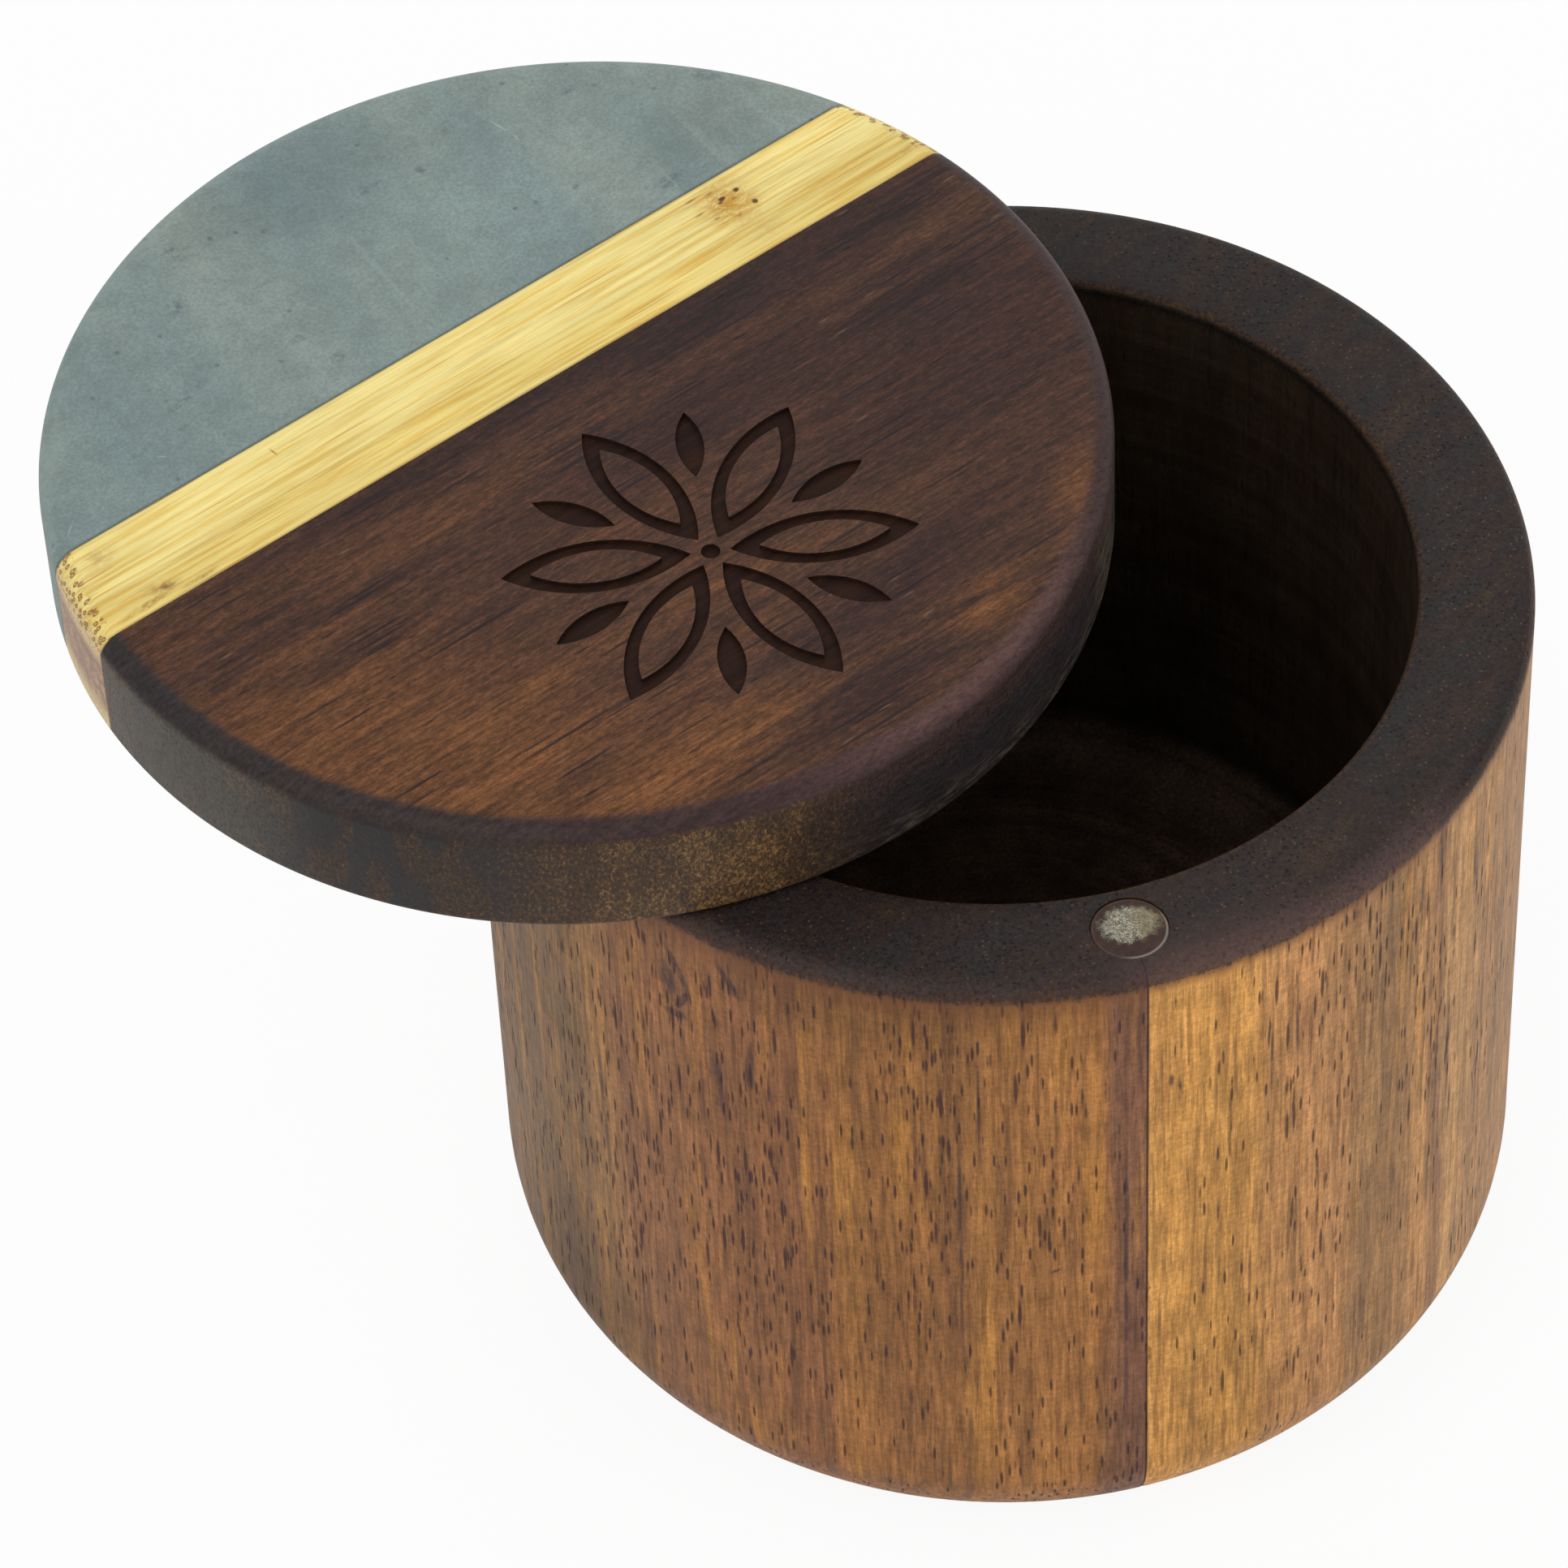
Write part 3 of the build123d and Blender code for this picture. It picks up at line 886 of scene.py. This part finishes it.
def turned_metal(name, colour_name, roughness_level):
    """Bare machined metal with fine tool lines round its axis."""
    metal = Recipe(name, 0.5)
    lines = metal.grain((9, 9, 1), 14, 2, 0.6)
    colour = metal.vary(paint(colour_name), (lines, 0.88, 1.08))
    metal.shader.inputs["Metallic"].default_value = 1
    roughness = metal.fade(lines, 0.25, 0.75, roughness_level, roughness_level + 0.12)
    return metal.finish(colour, roughness, (lines, 0.01))


# Mesh helpers

SHARP_EDGE = radians(35)
TURNED_SIDES = 96
DRILL_OVERRUN = 8


def spaced(start, end, steps):
    """Evenly spaced values from start to end."""
    return [start + (end - start) * step / steps for step in range(steps + 1)]


def arc(centre, width, height, start, end, steps):
    """Points of an oval arc, from one angle in degrees to another."""
    angles = [radians(angle) for angle in spaced(start, end, steps)]
    return [(centre[0] + width * cos(angle), centre[1] + height * sin(angle)) for angle in angles]


def place_in_scene(name, data):
    made = bpy.data.objects.new(name, data)
    bpy.context.scene.collection.objects.link(made)
    return made


def object_from(name, mesh):
    """A new object of the scene that takes over the mesh."""
    data = bpy.data.meshes.new(name)
    mesh.to_mesh(data)
    mesh.free()
    return place_in_scene(name, data)


def smooth(piece):
    """Shade a piece smooth, with its crisp edges kept crisp."""
    data = piece.data
    data.polygons.foreach_set("use_smooth", [True] * len(data.polygons))
    data.set_sharp_from_angle(angle=SHARP_EDGE)


def piece_from(name, mesh, materials, body, node):
    """Make a finished piece that stands for a CAD node and rides on its body."""
    bmesh.ops.recalc_face_normals(mesh, faces=mesh.faces)
    piece = object_from(name, mesh)
    for material in materials:
        piece.data.materials.append(material)
    smooth(piece)
    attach(piece, body)
    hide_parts(node)
    return piece


def turned(points):
    """Closed mesh turned about Z from (radius, height) points that start and end on the axis."""
    mesh = bmesh.new()
    columns = []
    for side in range(TURNED_SIDES):
        angle = 2 * pi * side / TURNED_SIDES
        columns.append([
            mesh.verts.new((radius * cos(angle), radius * sin(angle), height))
            for radius, height in points[1:-1]
        ])
    bottom = mesh.verts.new((0, 0, points[0][1]))
    top = mesh.verts.new((0, 0, points[-1][1]))
    join_columns(mesh, bottom, top, columns + columns[:1])
    return mesh


def join_columns(mesh, bottom, top, columns):
    """Faces between neighbouring columns, and from their ends to the two points on the axis."""
    for here, there in zip(columns, columns[1:]):
        mesh.faces.new((bottom, here[0], there[0]))
        for step in range(len(here) - 1):
            mesh.faces.new((here[step], there[step], there[step + 1], here[step + 1]))
        mesh.faces.new((here[-1], there[-1], top))


def drill(piece, centre, mouth_height, radius, depth):
    """Cut a blind hole into a piece, up or down from its mouth, with its edge broken."""
    ease = mouth_ease if depth > 0 else -mouth_ease
    mouth_radius = radius + 2 * mouth_ease
    mesh = turned([
        (0, -DRILL_OVERRUN * ease),
        (mouth_radius, -DRILL_OVERRUN * ease),
        (mouth_radius, -ease),
        (radius, ease),
        (radius, depth),
        (0, depth),
    ])
    bmesh.ops.recalc_face_normals(mesh, faces=mesh.faces)
    cutter = object_from("drill", mesh)
    cutter.location = (centre.x, centre.y, mouth_height)
    cut = piece.modifiers.new("drill", "BOOLEAN")
    cut.operation = "DIFFERENCE"
    cut.solver = "EXACT"
    cut.object = cutter
    bpy.context.view_layer.update()
    drilled = piece.evaluated_get(bpy.context.evaluated_depsgraph_get())
    result = bpy.data.meshes.new_from_object(drilled)
    piece.modifiers.clear()
    piece.data = result
    bpy.data.objects.remove(cutter)
    smooth(piece)


# The box

FOOT_STEPS = 20
WALL_STEPS = 120
RIM_STEPS = 10
MOUTH_STEPS = 6
COVE_STEPS = 14
COLUMN_STEP = 1.5
AXIS_RING_SHARE = 0.4

# How far from the glue line each of its three columns lies, and how deep: shares of ease and of gap
JOINT_COLUMNS = [((0, 0), (1, 1)), ((0.4, 0.7), (0, 0.8)), ((1, 1), (0, 0))]
JOINT_COLUMN_REACH = 0.3

# Waves in which the gaps of the filler open and the turned surface wavers
GAP_WAVE = 3.1 * MM
GAP_FINE_WAVE = 0.9 * MM
GAP_FINE_SHARE = 0.35
GAP_THRESHOLD = 0.18
GAP_STEEPNESS = 3.2
WAVER_HEIGHT = 9 * MM
WAVERS_PER_RADIAN = 2.2


def box_profile():
    """Half section of the box as (radius, height), from the middle of the base to the cavity floor."""
    floor_height = box_height - cavity_depth
    wall_top = box_height - rim_round_height
    cove_centre = (bore_radius - cove_radius, floor_height + cove_radius)
    mouth_centre = (bore_radius + rim_inner_round, box_height - rim_inner_round)
    return [
        (0, 0),
        (box_radius * AXIS_RING_SHARE, 0),
        *arc((box_radius - foot_round, foot_round), foot_round, foot_round, -90, 0, FOOT_STEPS),
        *[(box_radius, height) for height in spaced(foot_round, wall_top, WALL_STEPS)[1:-1]],
        *arc((box_radius - rim_round_width, wall_top), rim_round_width, rim_round_height, 0, 90, RIM_STEPS),
        *arc(mouth_centre, -rim_inner_round, rim_inner_round, 90, 0, MOUTH_STEPS),
        *arc(cove_centre, cove_radius, cove_radius, 0, -90, COVE_STEPS),
        (bore_radius * AXIS_RING_SHARE, floor_height),
        (0, floor_height),
    ]


def outward(points, index):
    """Unit vector that leaves the solid at a point of the profile."""
    before = Vector(points[max(index - 1, 0)])
    after = Vector(points[min(index + 1, len(points) - 1)])
    run = (after - before).normalized()
    return Vector((run.y, -run.x))


def filler_gap(height, face):
    """How open the filler beside a glue line is at a height, from none to one, unlike on each face."""
    wave = noise.noise(Vector((face * 7.3, 0, height / GAP_WAVE)))
    fine = noise.noise(Vector((4.2, face * 3.1, height / GAP_FINE_WAVE)))
    return min(max((wave + GAP_FINE_SHARE * fine - GAP_THRESHOLD) * GAP_STEEPNESS, 0), 1)


def box_half(name, node, side, material):
    """One board of the box: the profile turned half round from the glue joint, side -1 or +1."""
    points = box_profile()
    normals = [outward(points, index) for index in range(len(points))]
    mesh = bmesh.new()
    bottom = mesh.verts.new((0, 0, points[0][1]))
    top = mesh.verts.new((0, 0, points[-1][1]))

    def place(index, turn, near, face):
        """A vertex: turn goes from the front joint to the back one, near counts columns from a joint.

        Face is 1 beside the front joint and 2 beside the back one.
        """
        radius, height = points[index]
        inset = 0
        if near is not None:
            # Only the right board has gaps, low on its outside
            gap = filler_gap(height, face) if side > 0 and index < len(points) / 2 else 0
            (ease_across, gap_across), (ease_deep, gap_deep) = JOINT_COLUMNS[near]
            inset = joint_ease * ease_deep + filler_gap_depth * gap * gap_deep
            angle = (joint_ease * ease_across + filler_gap_width * gap * gap_across) / radius
            angle = min(angle, radians(COLUMN_STEP) * JOINT_COLUMN_REACH * near)
            turn = angle if turn < pi / 2 else pi - angle
        spin = -pi / 2 + side * turn
        radius -= normals[index].x * inset
        height -= normals[index].y * inset
        waver = noise.noise(Vector((spin * WAVERS_PER_RADIAN, height / WAVER_HEIGHT, side * 5)))
        radius -= wood_waver * (0.5 + 0.5 * waver) * max(normals[index].x, 0)
        return mesh.verts.new((radius * cos(spin), radius * sin(spin), height))

    layout = [(0, near, 1) for near in (0, 1, 2)]
    layout += [(radians(COLUMN_STEP) * step, None, 0) for step in range(1, int(180 / COLUMN_STEP))]
    layout += [(pi, near, 2) for near in (2, 1, 0)]
    columns = [
        [place(index, turn, near, face) for index in range(1, len(points) - 1)]
        for turn, near, face in layout
    ]
    join_columns(mesh, bottom, top, columns)
    mesh.faces.new([bottom, *columns[0], top, *reversed(columns[-1])])
    return piece_from(name, mesh, [material], "box", node)


# The lid, drawn in its own axes: X along the laminations, Y towards the stone, Z up

ARC_STEPS = 150
CHORD_STEPS = 40
UNDERSIDE_STEPS = 6
SHOULDER_STEPS = 14
PETAL_STEPS = 28
EYE_STEPS = 24
MAGNET_EDGE_STEPS = 5
PLY_EASE_SHARE = 0.1
WELD_DIGITS = 7


def eased(joint, shift):
    """How far an edge draws back at a joint. The two bamboo plies meet almost without a groove."""
    return shift * PLY_EASE_SHARE if joint == narrow_strip_edge else shift


def slab_outline(low, high, radius, shift):
    """Outline of the part of a disc between two joints, drawn in by the shift at its joints."""
    points = []

    def run_arc(start, end):
        angles = spaced(start, end, ARC_STEPS)
        points.extend((radius * cos(angle), radius * sin(angle)) for angle in angles)

    def run_chord(across, direction):
        reach = sqrt(radius ** 2 - across ** 2) - joint_ease
        points.extend((direction * reach * share, across) for share in spaced(1, -1, CHORD_STEPS))

    if low is not None:
        low_side = low + eased(low, shift)
        low_angle = asin((low_side + eased(low, joint_ease)) / radius)
    if high is not None:
        high_side = high - eased(high, shift)
        high_angle = asin((high_side - eased(high, joint_ease)) / radius)
    if high is None:
        run_arc(low_angle, pi - low_angle)
        run_chord(low_side, -1)
    elif low is None:
        run_chord(high_side, 1)
        run_arc(pi - high_angle, 2 * pi + high_angle)
    else:
        run_arc(low_angle, high_angle)
        run_chord(high_side, 1)
        run_arc(pi - high_angle, pi - low_angle)
        run_chord(low_side, -1)
    return points


def slab_levels():
    """(height, radius, shift at the joints) of each outline, from the underside to the top."""
    soft = lid_bottom_round
    bottom = arc((lid_radius - soft, soft), soft, soft, -90, 0, UNDERSIDE_STEPS)
    shoulder = (lid_radius - lid_round_width, lid_thickness - lid_round_height)
    top = arc(shoulder, lid_round_width, lid_round_height, 0, 90, SHOULDER_STEPS)
    levels = [(height, radius, max(joint_ease - height, 0)) for radius, height in bottom]
    levels += [(height, radius, max(height + joint_ease - lid_thickness, 0)) for radius, height in top]
    return levels


def lid_slab(name, node, low, high, materials, slot_name, carved=None):
    """One lamination of the lid. Carved loops, where given, are sunk into its top."""
    mesh = bmesh.new()
    rings = [
        [mesh.verts.new((x, y, height)) for x, y in slab_outline(low, high, radius, shift)]
        for height, radius, shift in slab_levels()
    ]
    count = len(rings[0])
    for below, above in zip(rings, rings[1:]):
        for index in range(count):
            after = (index + 1) % count
            mesh.faces.new((below[index], below[after], above[after], above[index]))
    mesh.faces.new(list(reversed(rings[0])))
    if carved is None:
        mesh.faces.new(rings[-1])
    else:
        carve_top(mesh, rings[-1], carved)
    bmesh.ops.transform(mesh, matrix=LID_MATRIX, verts=mesh.verts)
    return piece_from(name, mesh, materials, "lid", node)


def carve_top(mesh, rim, loops):
    """Fill the top inside its rim, and sink what lies inside an odd number of the loops."""
    flat = [Vector(vertex.co.xy) for vertex in rim]
    outlines = [list(range(len(flat)))]
    for loop in loops:
        outlines.append(list(range(len(flat), len(flat) + len(loop))))
        flat.extend(Vector(point) for point in loop)
    found = geometry.delaunay_2d_cdt(flat, [], outlines, 1, 10 ** -WELD_DIGITS)
    points, triangles, owners = found[0], found[2], found[5]
    at_rim = {(round(v.co.x, WELD_DIGITS), round(v.co.y, WELD_DIGITS)): v for v in rim}
    land = {}
    floor = {}

    def land_vertex(index):
        if index not in land:
            x, y = points[index]
            at_place = at_rim.get((round(x, WELD_DIGITS), round(y, WELD_DIGITS)))
            land[index] = at_place or mesh.verts.new((x, y, lid_thickness))
        return land[index]

    def floor_vertex(index):
        if index not in floor:
            floor[index] = mesh.verts.new((*points[index], lid_thickness - engraving_depth))
        return floor[index]

    floor_edges = []
    for triangle, owned in zip(triangles, owners):
        is_sunk = sum(1 for owner in owned if owner > 0) % 2 == 1
        vertex = floor_vertex if is_sunk else land_vertex
        face = mesh.faces.new([vertex(index) for index in triangle])
        if is_sunk:
            face.material_index = 1
            floor_edges += zip(triangle, triangle[1:] + triangle[:1])
    inner_edges = set(floor_edges)
    for start, end in floor_edges:
        if (end, start) not in inner_edges:
            wall = [land_vertex(start), land_vertex(end), floor_vertex(end), floor_vertex(start)]
            mesh.faces.new(wall).material_index = 1


def petal(direction, inner, outer, width):
    """Pointed oval loop between two arcs, lying from the inner to the outer radius."""
    length = outer - inner
    radius = (length ** 2 / 4 + width ** 2 / 4) / width
    half_angle = asin(length / 2 / radius)
    side = [
        (inner + length / 2 + radius * sin(angle), radius * cos(angle) - (radius - width / 2))
        for angle in spaced(-half_angle, half_angle, PETAL_STEPS)
    ]
    loop = side + [(along, -across) for along, across in reversed(side[1:-1])]
    turn = Matrix.Rotation(direction, 2)
    middle = Vector((0, rosette_across))
    return [tuple(turn @ Vector(point) + middle) for point in loop]


def rosette():
    """Loops of the engraving: outlined petals, leaves between them and an eye."""
    loops = []
    inner_width = petal_width - 2 * petal_stroke
    for index in range(petal_count):
        direction = radians(90 + 360 / petal_count * index)
        loops.append(petal(direction, petal_inner, petal_outer, petal_width))
        loops.append(petal(direction, petal_inner + petal_tip, petal_outer - petal_tip, inner_width))
        loops.append(petal(direction + pi / petal_count, leaf_inner, leaf_outer, leaf_width))
    eye = arc((0, rosette_across), rosette_eye, rosette_eye, 0, 360, EYE_STEPS)[:-1]
    return loops + [eye]


# Magnets, pin and bush

def middle_of(node):
    """Centre of a round node and its radius."""
    low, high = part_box(node)
    return (low + high) / 2, (high.x - low.x) / 2


def magnet(name, node, body):
    """Disc magnet with softly rounded edges, in the place of its node."""
    low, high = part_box(node)
    centre, radius = middle_of(node)
    soft = magnet_face_round
    mesh = turned([
        (0, low.z),
        *arc((radius - soft, low.z + soft), soft, soft, -90, 0, MAGNET_EDGE_STEPS),
        *arc((radius - soft, high.z - soft), soft, soft, 0, 90, MAGNET_EDGE_STEPS),
        (0, high.z),
    ])
    bmesh.ops.translate(mesh, verts=mesh.verts, vec=(centre.x, centre.y, 0))
    return piece_from(name, mesh, [magnet_metal(centre)], body, node)


def dress_node(node, material):
    """Give a CAD node that keeps its shape its own material."""
    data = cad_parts[node].data
    data.materials.clear()
    data.materials.append(material)


def build_box():
    boards = [
        box_half("left_board", "box_left_half", -1, acacia(LEFT_BOARD)),
        box_half("right_board", "box_right_half", 1, acacia(RIGHT_BOARD)),
    ]
    pocket, pocket_radius = middle_of("rim_magnet")
    seat, seat_radius = middle_of("pivot_pin")
    pocket_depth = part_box("rim_magnet")[0].z - box_height
    seat_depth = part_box("pivot_pin")[0].z - box_height
    for board in boards:
        drill(board, pocket, box_height, pocket_radius + rim_pocket_film, pocket_depth)
        drill(board, seat, box_height, seat_radius + glue_film, seat_depth)


def build_lid():
    lid_slab("slate_segment", "lid_slate", stone_edge, None, [slate()], "slate")
    wide_sides = (narrow_strip_edge, stone_edge)
    wide_wood = bamboo("bamboo_wide_oiled", "#FFEC9A", "#F0CE6E", wide_sides, WIDE_STRIP_MARKS)
    wide = lid_slab("bamboo_wide", "lid_bamboo_wide_strip", *wide_sides, [wide_wood], "bamboo")
    narrow_sides = (dark_wood_edge, narrow_strip_edge)
    narrow_wood = bamboo("bamboo_narrow_oiled", "#F6DF88", "#E4BC5A", narrow_sides, NARROW_STRIP_MARKS)
    narrow = lid_slab("bamboo_narrow", "lid_bamboo_narrow_strip", *narrow_sides, [narrow_wood], "bamboo")
    dark = lid_slab(
        "dark_wood_segment", "lid_dark_wood", None, dark_wood_edge,
        [dark_wood(), burnt_engraving()], "dark_wood", rosette(),
    )
    pocket, pocket_radius = middle_of("lid_magnet")
    bore, bush_radius = middle_of("pivot_bush")
    pocket_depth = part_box("lid_magnet")[1].z - lid_low.z
    bore_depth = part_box("pivot_bush")[1].z - lid_low.z + bore_end_clearance
    drill(dark, pocket, lid_low.z, pocket_radius + glue_film, pocket_depth)
    for lamination in (wide, narrow, dark):
        drill(lamination, bore, lid_low.z, bush_radius + glue_film, bore_depth)


def build_metal():
    magnet("rim_magnet_disc", "rim_magnet", "box")
    magnet("lid_magnet_disc", "lid_magnet", "lid")
    dress_node("pivot_pin", turned_metal("pin_steel_ground", "#B9B6B0", 0.22))
    dress_node("pivot_bush", turned_metal("bush_brass_turned", "#C9A24E", 0.26))


# Stage, light and camera

WHITE = (1, 1, 1, 1)
FLOOR_SIZE = 6
FLOOR_COLOUR = (0.97, 0.97, 0.97, 1)
FLOOR_ROUGHNESS = 0.9
FLOOR_WHITE_SHARE = 0.92
SKY_STRENGTH = 0.55
CAMERA_AZIMUTH = radians(12.445)
CAMERA_DOWN = radians(49.099)
CAMERA_ROLL = radians(-2.831)
CAMERA_DISTANCE = 678 * MM
AIM = Vector((0, 0, 40 * MM))
AIM_RIGHT = 18.84 * MM
AIM_UP = -6.69 * MM
LENS = 180.4
SENSOR = 36


def white_where_seen(tree, shader, white, share):
    """Show plain white to the camera and in reflections, and leave the rest of the light alone."""
    path = add_node(tree, "LightPath", {})

    def clamped(operation, first, second):
        return add_node(tree, "Math", {0: first, 1: second}, operation=operation, use_clamp=True)[0]

    mirrored = clamped("ADD", path["Is Glossy Ray"], path["Is Transmission Ray"])
    seen = clamped("ADD", path["Is Camera Ray"], mirrored)
    return add_node(tree, "MixShader", {0: clamped("MULTIPLY", seen, share), 1: shader, 2: white})[0]


def white_world():
    world = bpy.data.worlds.new("studio")
    bpy.context.scene.world = world
    world.use_nodes = True
    tree = world.node_tree
    sky = tree.nodes["Background"]
    sky.inputs["Color"].default_value = WHITE
    sky.inputs["Strength"].default_value = SKY_STRENGTH
    white = add_node(tree, "Background", {"Color": WHITE, "Strength": 1})[0]
    surface = white_where_seen(tree, sky.outputs[0], white, 1)
    tree.links.new(surface, tree.nodes["World Output"].inputs["Surface"])


def pale_floor():
    mesh = bmesh.new()
    bmesh.ops.create_grid(mesh, x_segments=4, y_segments=4, size=FLOOR_SIZE / 2)
    floor = object_from("floor", mesh)
    material = bpy.data.materials.new("pale_floor")
    material.use_nodes = True
    tree = material.node_tree
    matt = tree.nodes["Principled BSDF"]
    matt.inputs["Base Color"].default_value = FLOOR_COLOUR
    matt.inputs["Roughness"].default_value = FLOOR_ROUGHNESS
    glow = add_node(tree, "Emission", {"Strength": 1})[0]
    surface = white_where_seen(tree, matt.outputs[0], glow, FLOOR_WHITE_SHARE)
    tree.links.new(surface, tree.nodes["Material Output"].inputs["Surface"])
    floor.data.materials.append(material)


def softbox(name, place, size, power):
    """Square area lamp aimed at the middle of the box."""
    lamp = bpy.data.lights.new(name, "AREA")
    lamp.size = size
    lamp.energy = power
    lamp_object = place_in_scene(name, lamp)
    lamp_object.location = place
    lamp_object.rotation_euler = (AIM - Vector(place)).to_track_quat("-Z", "Y").to_euler()


def studio():
    white_world()
    pale_floor()
    softbox("key_softbox", (-0.7, -0.5, 1.3), 0.9, 6)
    softbox("fill_softbox", (0.9, -0.9, 0.8), 0.9, 3)
    softbox("back_softbox", (0.4, 1.2, 1), 1, 4)


def photograph_camera():
    """Camera at the photograph's viewing angle."""
    forward = Vector((
        sin(CAMERA_AZIMUTH) * cos(CAMERA_DOWN),
        cos(CAMERA_AZIMUTH) * cos(CAMERA_DOWN),
        -sin(CAMERA_DOWN),
    ))
    level_right = Vector((cos(CAMERA_AZIMUTH), -sin(CAMERA_AZIMUTH), 0))
    level_up = level_right.cross(forward)
    right = cos(CAMERA_ROLL) * level_right + sin(CAMERA_ROLL) * level_up
    up = cos(CAMERA_ROLL) * level_up - sin(CAMERA_ROLL) * level_right
    place = AIM - AIM_RIGHT * right - AIM_UP * up - CAMERA_DISTANCE * forward
    data = bpy.data.cameras.new("photograph_camera")
    data.lens = LENS
    data.sensor_width = SENSOR
    camera = place_in_scene("photograph_camera", data)
    axes = Matrix((right, up, -forward)).transposed().to_4x4()
    camera.matrix_world = Matrix.Translation(place) @ axes
    bpy.context.scene.camera = camera


photograph_camera()
studio()
build_box()
build_lid()
build_metal()
bpy.context.scene.view_settings.view_transform = "Standard"
